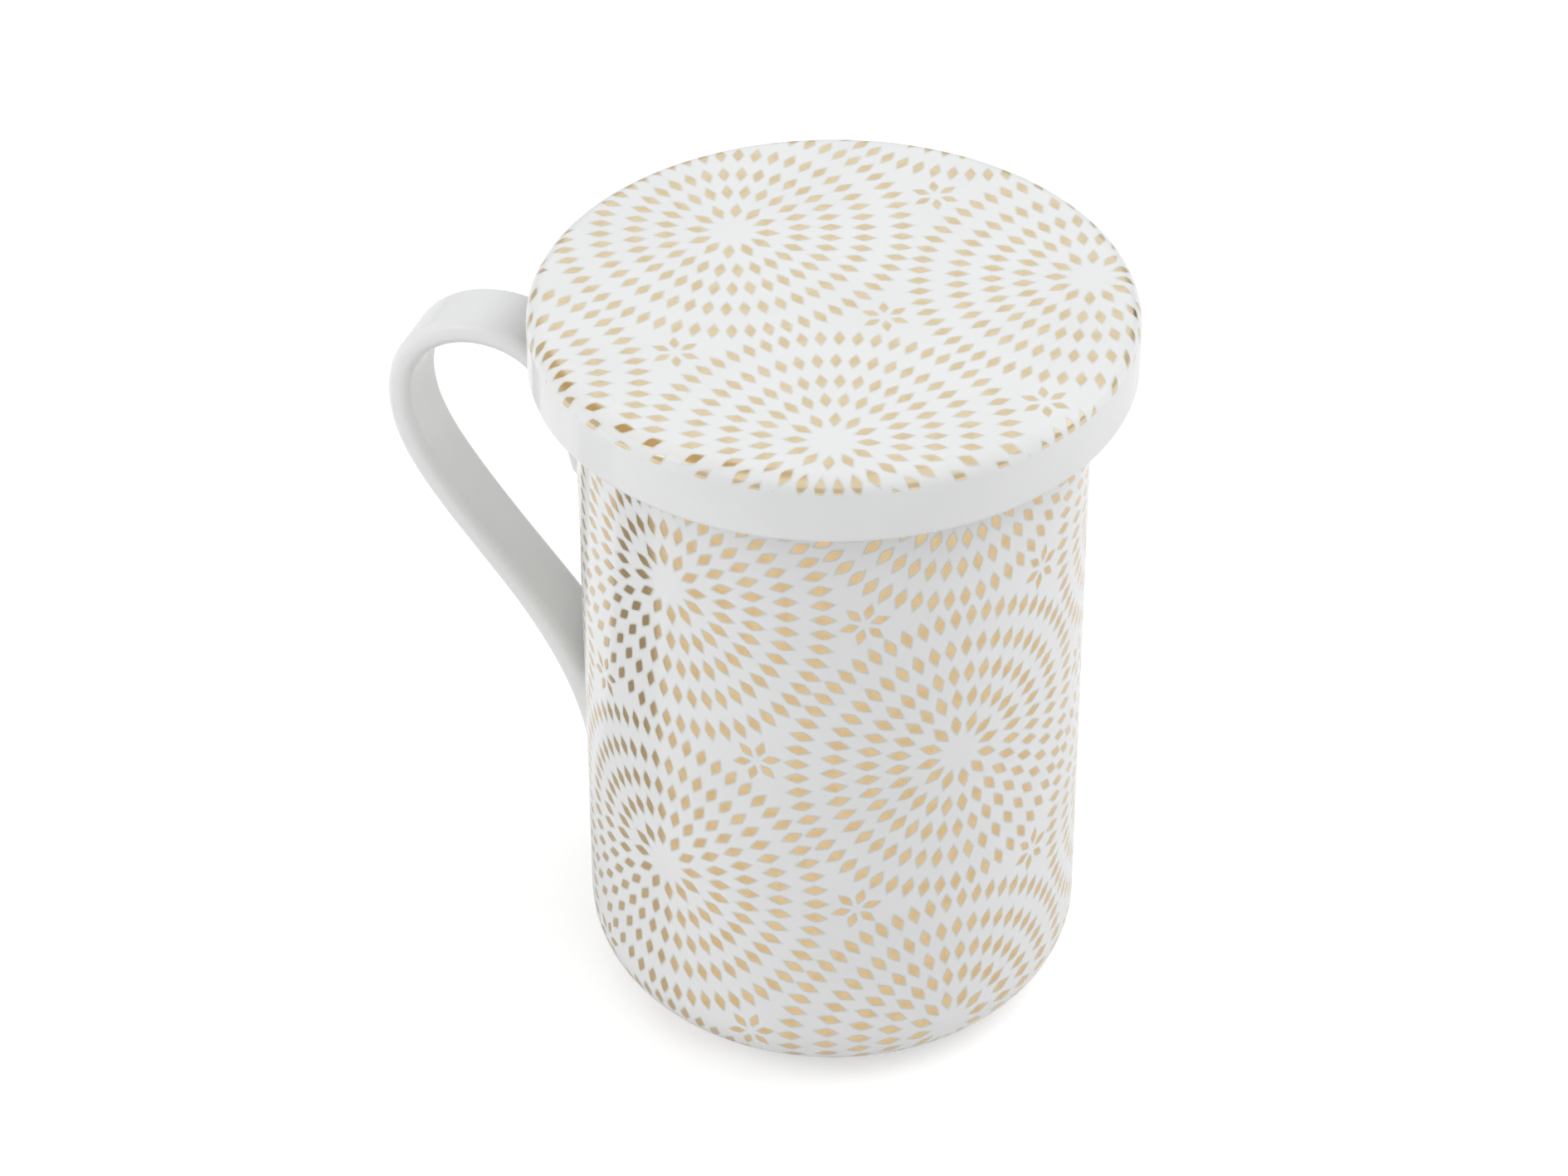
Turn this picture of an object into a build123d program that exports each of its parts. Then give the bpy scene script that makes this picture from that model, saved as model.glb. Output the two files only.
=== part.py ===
"""Lidded tea mug with a lift-out infuser, in millimetres.

The origin is the centre of the foot, +Z is up, and the handle lies in the XZ plane on the -X side.
"""

import os

from build123d import *

# mug body
mug_radius = 38.0  # outside, just under the lip
mug_height = 116.4
wall_thickness = 3.0
outer_draft = 0.4  # how much narrower the outside is where it turns in to the foot
lip_rounding = 1.1
heel_height = 11.9  # where the wall starts to turn in to the foot
floor_thickness = 4.4
inner_heel_radius = 9.0
inner_draft = 0.5  # how much narrower the inside is at the floor
foot_inset = 9.1  # from the mug's radius in to the foot ring
foot_width = 3.2
foot_lift = 1.6  # from the table up to the heel
foot_recess = 2.2
foot_slope = 0.6

# infuser: a brim with a neck, a rolled wall and a pressed base, all in sheet steel
sheet = 0.6
brim_fit = 0.8  # round the lip of the mug
brim_hem = 2.2  # how far the edge of the brim turns down
brim_bend = 1.0
neck_gap = 4.4  # between the neck and the inside of the mug
neck_depth = 7.0
seam_fit = 0.1  # between sheets that are welded together
basket_depth = 66.0  # from the rim of the mug to the underside of the basket
basket_taper = 3.0  # how much narrower the wall is at the foot
lap_band = 7.0  # straight band that laps the neck
foot_band = 4.2  # straight band inside the base
base_lip = 3.2
base_bend = 1.0

# piercing of the infuser
hole_size = 1.6
hole_columns = 30
hole_rows = 9
hole_margin = 4.0  # from the bands to the first and last row
base_rings = 3
base_pitch = 6.6
holes_per_ring = 6

# lid
lid_height = 10.9
lid_plate = 2.8
lid_edge = 4.7  # rounding of the top edge
skirt_fit = 1.95  # between the brim and the skirt
skirt_thickness = 3.3
skirt_rounding = 1.2
lid_corner = 1.2  # inside, between the plate and the skirt
ring_fit = 0.8  # between the ring under the lid and the neck of the infuser
ring_depth = 3.0
ring_width = 2.6
ring_rounding = 0.8
seat_height = 1.0  # shoulder of the ring, which rests on the brim
seat_width = 4.2

# handle: a flat ribbon
handle_lid_gap = 3.1  # from the skirt of the lid down to the ribbon
grip_width = 11.3
grip_thickness = 3.7
root_width = 14.6
root_thickness = 4.4
ribbon_roundness = 0.88  # of the ribbon's edges, where 1 is a half circle
root_end_rounding = 1.3

# stand-off from the wall, and drop below the crown, of points along the ribbon's centreline
upper_root = (-0.9, 20.6)
upper_neck = (2.6, 9.5)
crown_start = (8.7, 1.9)
crown_end = (20.4, 0.8)
knuckle = (27.7, 6.1)
reach = (29.8, 17.0)
upper_slope = (23.75, 30.3)
lower_slope = (11.4, 46.2)
lower_root = (-2.4, 70.9)  # inside the wall, where the ribbon is trimmed away

# levels and radii that follow
brim_top = mug_height + sheet
plate_bottom = brim_top + seat_height
lid_top = plate_bottom + lid_plate
skirt_bottom = lid_top - lid_height
base_radius = mug_radius - outer_draft
foot_radius = mug_radius - foot_inset
inner_radius = mug_radius - wall_thickness
floor_level = foot_recess + floor_thickness
brim_radius = mug_radius + brim_fit + sheet
skirt_inner_radius = brim_radius + skirt_fit
lid_radius = skirt_inner_radius + skirt_thickness
neck_radius = inner_radius - neck_gap
neck_inner_radius = neck_radius - sheet
wall_inner_radius = neck_radius + seam_fit
basket_bottom = mug_height - basket_depth
basket_inner_foot = wall_inner_radius - basket_taper
wall_top = mug_height - brim_bend - seam_fit
wall_bottom = basket_bottom + sheet
crown_level = skirt_bottom - handle_lid_gap - grip_thickness / 2


def draw_outside():
    """The mug's outside from the foot up to the rim: the heel's arc, then the wall."""
    wall_foot = Vector(base_radius, heel_height)
    rim = Vector(mug_radius, mug_height)
    TangentArc(wall_foot, (foot_radius, foot_lift), tangent=wall_foot - rim)
    Line(wall_foot, rim)


def nearest(sketch, radius, level):
    """The sketch's corner that lies nearest to a radius and a level."""
    spot = Vector(radius, level)
    return sketch.vertices().sort_by(lambda corner: (Vector(*corner) - spot).length)[0]


# Mug body: one turned shell, from the axis round the foot and the lip back to the axis.
with BuildPart() as mug_body:
    with BuildSketch(Plane.XZ) as section:
        with BuildLine():
            draw_outside()
            Polyline(
                (mug_radius, mug_height),
                (inner_radius, mug_height),
                (inner_radius - inner_draft, floor_level),
                (0, floor_level),
                (0, foot_recess),
                (foot_radius - foot_width - foot_slope, foot_recess),
                (foot_radius - foot_width, 0),
                (foot_radius - foot_slope, 0),
                (foot_radius, foot_lift),
            )
        make_face()
        fillet(nearest(section, mug_radius, mug_height), lip_rounding)
        fillet(nearest(section, inner_radius, mug_height), lip_rounding)
        fillet(nearest(section, inner_radius - inner_draft, floor_level), inner_heel_radius)
    revolve(axis=Axis.Z)

# The mug's outside as a solid plug, which trims what is luted to the wall.
with BuildPart() as wall_plug:
    with BuildSketch(Plane.XZ) as section:
        with BuildLine():
            draw_outside()
            Polyline((mug_radius, mug_height), (0, mug_height), (0, foot_lift), (foot_radius, foot_lift))
        make_face()
    revolve(axis=Axis.Z)

# Handle: ribbon sections along an ear-shaped centreline, wider and thicker at both roots.
ribbon_points = [
    (-mug_radius - stand_off, crown_level - drop)
    for stand_off, drop in (
        upper_root,
        upper_neck,
        crown_start,
        crown_end,
        knuckle,
        reach,
        upper_slope,
        lower_slope,
        lower_root,
    )
]
ribbon_stations = [
    (0.0, 1.0),
    (0.08, 0.75),
    (0.17, 0.3),
    (0.27, 0.05),
    (0.38, 0.0),
    (0.5, 0.0),
    (0.62, 0.0),
    (0.74, 0.0),
    (0.87, 0.5),
    (1.0, 1.6),
]  # share of the length, and how far the ribbon has widened to its root there
with BuildPart() as handle:
    with BuildLine(Plane.XZ) as centreline:
        Spline(*ribbon_points)
    for station, widening in ribbon_stations:
        spot = centreline.line @ station
        width = grip_width + (root_width - grip_width) * widening
        thickness = grip_thickness + (root_thickness - grip_thickness) * widening
        with BuildSketch(Plane(origin=spot, x_dir=(0, 1, 0), z_dir=centreline.line % station)):
            RectangleRounded(width, thickness, ribbon_roundness * thickness / 2)
    loft()
    root_end = handle.faces().filter_by(GeomType.PLANE).sort_by(Axis.Z)[-1]
    fillet(root_end.edges(), root_end_rounding)
    add(wall_plug.part, mode=Mode.SUBTRACT)

# Infuser brim: rests on the lip, hems down round it, and drops inside as a neck.
with BuildPart() as infuser_brim:
    with BuildSketch(Plane.XZ) as section:
        with BuildLine():
            Polyline(
                (brim_radius, brim_top),
                (brim_radius, brim_top - brim_hem),
                (brim_radius - sheet, brim_top - brim_hem),
                (brim_radius - sheet, mug_height),
                (neck_radius, mug_height),
                (neck_radius, mug_height - neck_depth),
                (neck_inner_radius, mug_height - neck_depth),
                (neck_inner_radius, brim_top),
                close=True,
            )
        make_face()
        fillet(nearest(section, brim_radius, brim_top), brim_bend)
        fillet(nearest(section, brim_radius - sheet, mug_height), brim_bend - sheet)
        fillet(nearest(section, neck_radius, mug_height), brim_bend)
        fillet(nearest(section, neck_inner_radius, brim_top), brim_bend + sheet)
    revolve(axis=Axis.Z)

# Infuser wall: a rolled sheet, straight at both ends, with staggered rows of holes between.
wall_levels = [wall_bottom, wall_bottom + foot_band, wall_top - lap_band, wall_top]
wall_radii = [basket_inner_foot, basket_inner_foot, wall_inner_radius, wall_inner_radius]
inner_side = list(zip(wall_radii, wall_levels))
outer_side = [(radius + sheet, level) for radius, level in reversed(inner_side)]
first_row = wall_bottom + foot_band + hole_margin
last_row = wall_top - lap_band - hole_margin
row_pitch = (last_row - first_row) / (hole_rows - 1)


def hole_column(first):
    """Prisms for every second row of holes, upwards from the given row."""
    with BuildPart() as column:
        with BuildSketch(Plane.XZ.offset(basket_inner_foot - sheet)):
            with Locations(*[(0, first_row + row * row_pitch) for row in range(first, hole_rows, 2)]):
                Circle(hole_size / 2)
        extrude(amount=basket_taper + 3 * sheet)
    return column.part


even_rows = hole_column(0)
odd_rows = hole_column(1)
with BuildPart() as infuser_wall:
    with BuildSketch(Plane.XZ):
        with BuildLine():
            Polyline(*inner_side, *outer_side, close=True)
        make_face()
    revolve(axis=Axis.Z)
    with PolarLocations(0, hole_columns):
        add(even_rows, mode=Mode.SUBTRACT)
    with PolarLocations(0, hole_columns, start_angle=180 / hole_columns):
        add(odd_rows, mode=Mode.SUBTRACT)

# Infuser base: a shallow pressed pan round the foot of the wall, pierced in rings.
pan_inner_radius = basket_inner_foot + sheet + seam_fit
pan_radius = pan_inner_radius + sheet
with BuildPart() as infuser_base:
    with BuildSketch(Plane.XZ) as section:
        with BuildLine():
            Polyline(
                (0, basket_bottom),
                (pan_radius, basket_bottom),
                (pan_radius, basket_bottom + base_lip),
                (pan_inner_radius, basket_bottom + base_lip),
                (pan_inner_radius, basket_bottom + sheet),
                (0, basket_bottom + sheet),
                close=True,
            )
        make_face()
        fillet(nearest(section, pan_radius, basket_bottom), base_bend)
    revolve(axis=Axis.Z)
    with BuildSketch(Plane.XY.offset(basket_bottom)):
        Circle(hole_size / 2)
        for ring in range(1, base_rings + 1):
            with PolarLocations(ring * base_pitch, ring * holes_per_ring):
                Circle(hole_size / 2)
    extrude(amount=sheet, mode=Mode.SUBTRACT)

# Lid: a plate with a skirt round the lip, and a stepped ring that rests on the brim and enters the neck.
ring_radius = neck_inner_radius - ring_fit
with BuildPart() as lid:
    with BuildSketch(Plane.XZ) as section:
        with BuildLine():
            Polyline(
                (0, lid_top),
                (lid_radius, lid_top),
                (lid_radius, skirt_bottom),
                (skirt_inner_radius, skirt_bottom),
                (skirt_inner_radius, plate_bottom),
                (ring_radius + seat_width, plate_bottom),
                (ring_radius + seat_width, brim_top),
                (ring_radius, brim_top),
                (ring_radius, brim_top - ring_depth),
                (ring_radius - ring_width, brim_top - ring_depth),
                (ring_radius - ring_width, plate_bottom),
                (0, plate_bottom),
                close=True,
            )
        make_face()
        fillet(nearest(section, lid_radius, lid_top), lid_edge)
        fillet(nearest(section, lid_radius, skirt_bottom), skirt_rounding)
        fillet(nearest(section, skirt_inner_radius, skirt_bottom), skirt_rounding)
        fillet(nearest(section, skirt_inner_radius, plate_bottom), lid_corner)
        fillet(nearest(section, ring_radius, brim_top - ring_depth), ring_rounding)
        fillet(nearest(section, ring_radius - ring_width, brim_top - ring_depth), ring_rounding)
    revolve(axis=Axis.Z)

mug_body.part.label = "mug_body"
handle.part.label = "handle"
infuser_brim.part.label = "infuser_brim"
infuser_wall.part.label = "infuser_wall"
infuser_base.part.label = "infuser_base"
lid.part.label = "lid"

os.makedirs("parts", exist_ok=True)
export_step(mug_body.part, "parts/mug_body.step")
export_step(handle.part, "parts/handle.step")
export_step(infuser_brim.part, "parts/infuser_brim.step")
export_step(infuser_wall.part, "parts/infuser_wall.step")
export_step(infuser_base.part, "parts/infuser_base.step")
export_step(lid.part, "parts/lid.step")
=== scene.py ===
import math

import bmesh
import bpy
import numpy as np
from mathutils import Euler, Matrix, Vector


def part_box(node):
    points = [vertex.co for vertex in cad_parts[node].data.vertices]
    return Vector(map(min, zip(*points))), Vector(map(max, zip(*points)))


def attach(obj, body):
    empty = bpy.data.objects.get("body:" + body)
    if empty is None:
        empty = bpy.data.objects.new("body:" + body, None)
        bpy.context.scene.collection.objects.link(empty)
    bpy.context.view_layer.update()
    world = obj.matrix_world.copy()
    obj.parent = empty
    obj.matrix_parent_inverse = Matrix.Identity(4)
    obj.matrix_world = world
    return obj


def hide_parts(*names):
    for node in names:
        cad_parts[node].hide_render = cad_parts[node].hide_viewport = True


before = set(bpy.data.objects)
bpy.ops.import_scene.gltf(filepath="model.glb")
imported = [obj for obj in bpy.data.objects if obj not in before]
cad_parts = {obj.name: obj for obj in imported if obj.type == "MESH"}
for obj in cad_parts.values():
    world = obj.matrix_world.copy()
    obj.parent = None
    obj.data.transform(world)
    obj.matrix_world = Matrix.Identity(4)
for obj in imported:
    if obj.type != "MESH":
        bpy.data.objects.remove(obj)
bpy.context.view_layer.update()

mm = 0.001  # the scene is in metres
print("tea mug: frame loaded")

lidLow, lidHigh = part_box("lid")
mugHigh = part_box("mug_body")[1]
brimLow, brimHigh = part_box("infuser_brim")
wallLow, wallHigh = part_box("infuser_wall")
panLow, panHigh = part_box("infuser_base")

# modelling by hand, as functions

modelling = {
    "around": 192,  # corners of a turned piece
    "pickReach": 0.02 * mm,  # a point this near to a ring belongs to it
    "weld": 0.001 * mm,
}


def deselect():
    bpy.ops.object.select_all(action="DESELECT")


def selectEdges(piece, wanted):
    # edges are picked by a test on their two end points
    bpy.ops.mesh.select_all(action="DESELECT")
    mesh = bmesh.from_edit_mesh(piece.data)
    for edge in mesh.edges:
        if all(wanted(vertex.co) for vertex in edge.verts):
            edge.select_set(True)
    bmesh.update_edit_mesh(piece.data)


def onRing(corner):
    # a test for the ring that lies at one corner (radius, level) of a section
    def wanted(place):
        outwards = math.hypot(place.x, place.y) - corner[0]
        return math.hypot(outwards, place.z - corner[1]) < modelling["pickReach"]
    return wanted


def turnAt(section, index, closed):
    # how far the section turns at one of its corners, in radians
    here = section[index]
    before = (0, section[0][1])
    after = (0, section[-1][1])
    if closed or index > 0:
        before = section[index - 1]
    if closed or index + 1 < len(section):
        after = section[(index + 1) % len(section)]
    first = Vector((here[0] - before[0], here[1] - before[1]))
    second = Vector((after[0] - here[0], after[1] - here[1]))
    return first.angle(second)


def turned(name, section, rounding, closed=False, roundSteps=8):
    # a ring is extruded from corner to corner of the section, and each corner is then rounded
    deselect()
    radius, level = section[0]
    bpy.ops.mesh.primitive_circle_add(
        vertices=modelling["around"], radius=radius, location=(0, 0, level)
    )
    piece = bpy.context.object
    piece.name = piece.data.name = name
    bpy.ops.object.transform_apply(location=True, rotation=False, scale=False)
    bpy.ops.object.mode_set(mode="EDIT")
    bpy.ops.mesh.select_mode(type="EDGE")
    bpy.ops.mesh.select_all(action="SELECT")
    corners = section[1:] + section[:1] if closed else section[1:]
    for newRadius, newLevel in corners:
        bpy.ops.mesh.extrude_region_move(TRANSFORM_OT_translate={"value": (0, 0, newLevel - level)})
        grow = newRadius / radius
        bpy.ops.transform.resize(value=(grow, grow, 1), center_override=(0, 0, newLevel))
        radius, level = newRadius, newLevel
    bpy.ops.mesh.select_all(action="SELECT")
    bpy.ops.mesh.remove_doubles(threshold=modelling["weld"])
    if not closed:
        for corner in (section[0], section[-1]):  # the flat discs on the axis
            selectEdges(piece, onRing(corner))
            bpy.ops.mesh.edge_face_add()
    for index, rounded in rounding.items():
        index = index % len(section)
        selectEdges(piece, onRing(section[index]))
        width = rounded * math.tan(turnAt(section, index, closed) / 2)
        bpy.ops.mesh.bevel(offset=width, segments=roundSteps, profile=0.5, clamp_overlap=False)
    bpy.ops.mesh.select_all(action="SELECT")
    bpy.ops.mesh.normals_make_consistent(inside=False)
    bpy.ops.object.mode_set(mode="OBJECT")
    return piece


def smoothed(piece, crease=35):
    # faces meet smoothly up to an angle in degrees, and normals are weighted so that flats stay flat
    deselect()
    piece.select_set(True)
    bpy.context.view_layer.objects.active = piece
    bpy.ops.object.shade_smooth_by_angle(angle=math.radians(crease))
    bpy.ops.object.modifier_add(type="WEIGHTED_NORMAL")
    piece.modifiers[-1].keep_sharp = True
    bpy.ops.object.modifier_apply(modifier=piece.modifiers[-1].name)
    return piece


def standFor(piece, body, node, material):
    # the piece takes the place of a solid on its body
    piece.data.materials.clear()
    piece.data.materials.append(material)
    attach(piece, body)
    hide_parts(node)


# nodes, as functions that take sockets or plain values

mixSockets = {"FLOAT": (2, 3, 0), "RGBA": (6, 7, 2)}  # the two inputs and the output of a Mix node


def join(tree, value, socket):
    if isinstance(value, bpy.types.NodeSocket):
        tree.links.new(value, socket)
    else:
        socket.default_value = value


def calc(tree, operation, *values):
    node = tree.nodes.new("ShaderNodeMath")
    node.operation = operation
    for socket, value in zip(node.inputs, values):
        join(tree, value, socket)
    return node.outputs[0]


def plus(tree, first, second):
    return calc(tree, "ADD", first, second)


def minus(tree, first, second):
    return calc(tree, "SUBTRACT", first, second)


def times(tree, first, second):
    return calc(tree, "MULTIPLY", first, second)


def hypotenuse(tree, x, y):
    return calc(tree, "SQRT", plus(tree, times(tree, x, x), times(tree, y, y)))


def alongBearing(tree, x, y, bearing):
    # how far a place lies along a bearing in degrees, and how far to the left of it
    cosine, sine = math.cos(math.radians(bearing)), math.sin(math.radians(bearing))
    ahead = plus(tree, times(tree, x, cosine), times(tree, y, sine))
    left = minus(tree, times(tree, y, cosine), times(tree, x, sine))
    return ahead, left


def blend(tree, kind, share, first, second):
    firstInput, secondInput, output = mixSockets[kind]
    node = tree.nodes.new("ShaderNodeMix")
    node.data_type = kind
    join(tree, share, node.inputs["Factor"])
    join(tree, first, node.inputs[firstInput])
    join(tree, second, node.inputs[secondInput])
    return node.outputs[output]


def blendColour(tree, share, first, second):
    return blend(tree, "RGBA", share, first, second)


def blendValue(tree, share, first, second):
    return blend(tree, "FLOAT", share, first, second)


def step(tree, value, low, high):
    # 0 below low, 1 above high, smooth between
    node = tree.nodes.new("ShaderNodeMapRange")
    node.interpolation_type = "SMOOTHSTEP"
    join(tree, value, node.inputs["Value"])
    node.inputs["From Min"].default_value = low
    node.inputs["From Max"].default_value = high
    return node.outputs["Result"]


def noise(tree, vector, size, detail):
    node = tree.nodes.new("ShaderNodeTexNoise")
    node.inputs["Scale"].default_value = 1 / size
    node.inputs["Detail"].default_value = detail
    join(tree, vector, node.inputs["Vector"])
    return node.outputs["Fac"]


def bump(tree, height, distance, before=None):
    node = tree.nodes.new("ShaderNodeBump")
    node.inputs["Distance"].default_value = distance
    join(tree, height, node.inputs["Height"])
    if before is not None:
        tree.links.new(before, node.inputs["Normal"])
    return node.outputs["Normal"]


def newMaterial(name):
    material = bpy.data.materials.new(name)
    material.use_nodes = True
    return material, material.node_tree, material.node_tree.nodes["Principled BSDF"]


def placeOn(tree):
    # the place on the piece, as a vector and as x, y and z
    place = tree.nodes.new("ShaderNodeTexCoord").outputs["Object"]
    split = tree.nodes.new("ShaderNodeSeparateXYZ")
    tree.links.new(place, split.inputs[0])
    return place, tuple(split.outputs)


# the print: rings of lozenges round the points of a triangular lattice, a flower between each three

medallion = {
    "halfLength": 1.52 * mm,  # of a lozenge, along the radius
    "halfWidth": 0.75 * mm,
    "fullness": 1.26,  # 1 is straight sides, 2 an ellipse
    "edge": 0.2,  # softness of the gold's edge, as a share of the lozenge
    "paintedPrintShade": 0.8,  # how far the painted shade round the print greys the glaze, as a share of the lozenge
    "flowerRadius": 2.35 * mm,
    "petals": 6,
    "petalHalfLength": 1.18 * mm,
    "petalHalfWidth": 0.63 * mm,
    "cut": 0.05 * mm,  # softness of the sheet's own edges
}


def lozengeRing(tree, radius, angle, ring, halfLength, halfWidth):
    # 1 in the middle of each lozenge of a ring, 0 on its outline and less outside
    ringRadius, count, firstAngle = ring
    pitchAngle = math.tau / count
    turns = times(tree, minus(tree, angle, math.radians(firstAngle)), 1 / pitchAngle)
    aside = times(tree, calc(tree, "PINGPONG", turns, 0.5), pitchAngle / halfWidth)
    aside = times(tree, aside, radius)
    along = calc(tree, "ABSOLUTE", minus(tree, radius, ringRadius))
    along = calc(tree, "DIVIDE", along, halfLength)
    aside, along = (calc(tree, "POWER", leg, medallion["fullness"]) for leg in (aside, along))
    return minus(tree, 1, plus(tree, aside, along))


def fromLatticePoint(tree, across, up, pitch):
    # the way from the nearest lattice point, whose own neighbours lie straight above and below it
    column, row = pitch * math.sqrt(3) / 2, pitch / 2
    ways = []
    for shiftAcross, shiftUp in ((0, 0), (column, row)):
        ways.append((
            calc(tree, "WRAP", minus(tree, across, shiftAcross), column, -column),
            calc(tree, "WRAP", minus(tree, up, shiftUp), row, -row),
        ))
    secondNearer = calc(tree, "LESS_THAN", hypotenuse(tree, *ways[1]), hypotenuse(tree, *ways[0]))
    return [blendValue(tree, secondNearer, first, second) for first, second in zip(*ways)]


def flowerBetween(tree, radius, angle, sheet):
    # six flowers stand round a lattice point, and each sixth of the turn sees its own straight ahead
    bearing = calc(tree, "WRAP", angle, math.pi / 6, -math.pi / 6)
    across = times(tree, radius, calc(tree, "COSINE", bearing))
    across = minus(tree, across, sheet["pitch"] / math.sqrt(3))
    up = times(tree, radius, calc(tree, "SINE", bearing))
    flowerRadius, flowerAngle = hypotenuse(tree, across, up), calc(tree, "ARCTAN2", up, across)
    petals = (medallion["flowerRadius"], medallion["petals"], sheet["petalAngle"])
    halfLength, halfWidth = medallion["petalHalfLength"], medallion["petalHalfWidth"]
    return lozengeRing(tree, flowerRadius, flowerAngle, petals, halfLength, halfWidth)


def printDepth(tree, across, up, sheet):
    # how deep a place lies in the print: 1 in the middle of a lozenge, 0 on its outline
    across, up = fromLatticePoint(tree, across, up, sheet["pitch"])
    radius, angle = hypotenuse(tree, across, up), calc(tree, "ARCTAN2", up, across)
    depth = flowerBetween(tree, radius, angle, sheet)
    for ring in sheet["rings"]:
        lozenges = lozengeRing(tree, radius, angle, ring, medallion["halfLength"], medallion["halfWidth"])
        depth = calc(tree, "MAXIMUM", depth, lozenges)
    return depth


def pastCut(tree, value, edge):
    # 1 beyond a cut edge of the sheet, 0 before it
    return step(tree, value, edge - medallion["cut"], edge + medallion["cut"])


# porcelain: clear glaze over white, gold print, bare biscuit where it stands

porcelain = {
    "white": (0.805, 0.815, 0.811, 1),
    "shade": (0.78, 0.79, 0.786, 1),  # where the glaze lies thicker
    "shadeComes": (0.35, 0.75),  # from nothing to all of it, in terms of the patches
    "roughness": (0.07, 0.112),
    "patchSize": 14 * mm,
    "patchHeight": 0.05 * mm,
    "rippleSize": 1.1 * mm,
    "rippleHeight": 0.004 * mm,
    "wearSize": 2.4 * mm,  # of the gold
    "wearComes": (0.3, 0.7),
    "goldRoughness": (0.128, 0.208),
    "goldHeight": 0.012 * mm,
    "biscuit": (0.74, 0.71, 0.66, 1),
    "biscuitRoughness": 0.75,
    "grainSize": 0.35 * mm,
    "grainHeight": 0.02 * mm,
}


def glaze(name, printed=None, sheet=None, bare=None):
    # printed draws how deep a place lies in the print and where the sheet lies, bare the unglazed clay
    material, tree, shader = newMaterial(name)
    place, (x, y, z) = placeOn(tree)
    patches = noise(tree, place, porcelain["patchSize"], 3)
    ripple = noise(tree, place, porcelain["rippleSize"], 2)
    shaded = step(tree, patches, *porcelain["shadeComes"])
    colour = blendColour(tree, shaded, porcelain["white"], porcelain["shade"])
    rough = blendValue(tree, patches, *porcelain["roughness"])
    normal = bump(tree, patches, porcelain["patchHeight"])
    normal = bump(tree, ripple, porcelain["rippleHeight"], normal)
    if printed:
        depth, laid = printed(tree, x, y, z)
        # painted shade: the glaze round each lozenge is greyed, as if the print shaded it
        paintedPrintShade = times(tree, step(tree, depth, -medallion["paintedPrintShade"], 0), laid)
        gold = times(tree, step(tree, depth, -medallion["edge"], medallion["edge"]), laid)
        wear = noise(tree, place, porcelain["wearSize"], 2)
        worn = step(tree, wear, *porcelain["wearComes"])
        colour = blendColour(tree, paintedPrintShade, colour, sheet["paintedPrintShade"])
        colour = blendColour(tree, gold, colour, blendColour(tree, worn, *sheet["gold"]))
        rough = blendValue(tree, gold, rough, blendValue(tree, wear, *porcelain["goldRoughness"]))
        normal = bump(tree, gold, porcelain["goldHeight"], normal)
        tree.links.new(gold, shader.inputs["Metallic"])
    if bare:
        clay = bare(tree, z)
        grain = noise(tree, place, porcelain["grainSize"], 3)
        colour = blendColour(tree, clay, colour, porcelain["biscuit"])
        rough = blendValue(tree, clay, rough, porcelain["biscuitRoughness"])
        normal = bump(tree, times(tree, grain, clay), porcelain["grainHeight"], normal)
    tree.links.new(colour, shader.inputs["Base Color"])
    tree.links.new(rough, shader.inputs["Roughness"])
    tree.links.new(normal, shader.inputs["Normal"])
    return material


# the mug: a turned shell

mugSizes = {
    "radius": mugHigh.x,
    "height": mugHigh.z,
    "wall": 3.0 * mm,
    "draft": 0.4 * mm,
    "lip": 1.1 * mm,
    "heelHeight": 11.9 * mm,
    "heelSteps": 20,
    "footRadius": mugHigh.x - 9.1 * mm,
    "footWidth": 3.2 * mm,
    "footSlope": 0.6 * mm,
    "footLift": 1.6 * mm,
    "recess": 2.2 * mm,
    "floorLevel": 6.6 * mm,
    "innerDraft": 0.5 * mm,
    "innerHeel": 9.0 * mm,
    "glazeSoftening": 0.4 * mm,  # glaze rounds every edge that the clay has
    "bareLevel": 0.45 * mm,  # below it the foot ring is unglazed
}


def outsideRadius(level):
    # of the mug's wall, above its heel
    rise = (level - mugSizes["heelHeight"]) / (mugSizes["height"] - mugSizes["heelHeight"])
    return mugSizes["radius"] - mugSizes["draft"] * (1 - rise)


def heelCircle():
    # the circle that runs up from the foot ring and into the wall without a corner
    foot = Vector((mugSizes["footRadius"], mugSizes["footLift"]))
    top = Vector((outsideRadius(mugSizes["heelHeight"]), mugSizes["heelHeight"]))
    wallUp = Vector((mugSizes["draft"], mugSizes["height"] - mugSizes["heelHeight"])).normalized()
    outward = Vector((wallUp.y, -wallUp.x))
    chord = top - foot
    radius = chord.length_squared / (2 * chord.dot(outward))
    return foot, top, top - radius * outward, radius


def heelArc():
    foot, top, centre, radius = heelCircle()
    start = math.atan2(*reversed(foot - centre))
    end = math.atan2(*reversed(top - centre))
    steps = mugSizes["heelSteps"]
    angles = [start + (end - start) * index / steps for index in range(steps + 1)]
    return [(centre.x + radius * math.cos(angle), centre.y + radius * math.sin(angle)) for angle in angles]


def makeMug():
    sizes = mugSizes
    footInner = sizes["footRadius"] - sizes["footWidth"]
    inner = sizes["radius"] - sizes["wall"]
    section = [
        (footInner - sizes["footSlope"], sizes["recess"]),
        (footInner, 0),
        (sizes["footRadius"] - sizes["footSlope"], 0),
        *heelArc(),
        (sizes["radius"], sizes["height"]),
        (inner, sizes["height"]),
        (inner - sizes["innerDraft"], sizes["floorLevel"]),
    ]
    rounding = {corner: sizes["glazeSoftening"] for corner in range(4)}  # the foot ring
    rounding.update({-3: sizes["lip"], -2: sizes["lip"], -1: sizes["innerHeel"]})
    return smoothed(turned("turned_mug", section, rounding))


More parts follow.
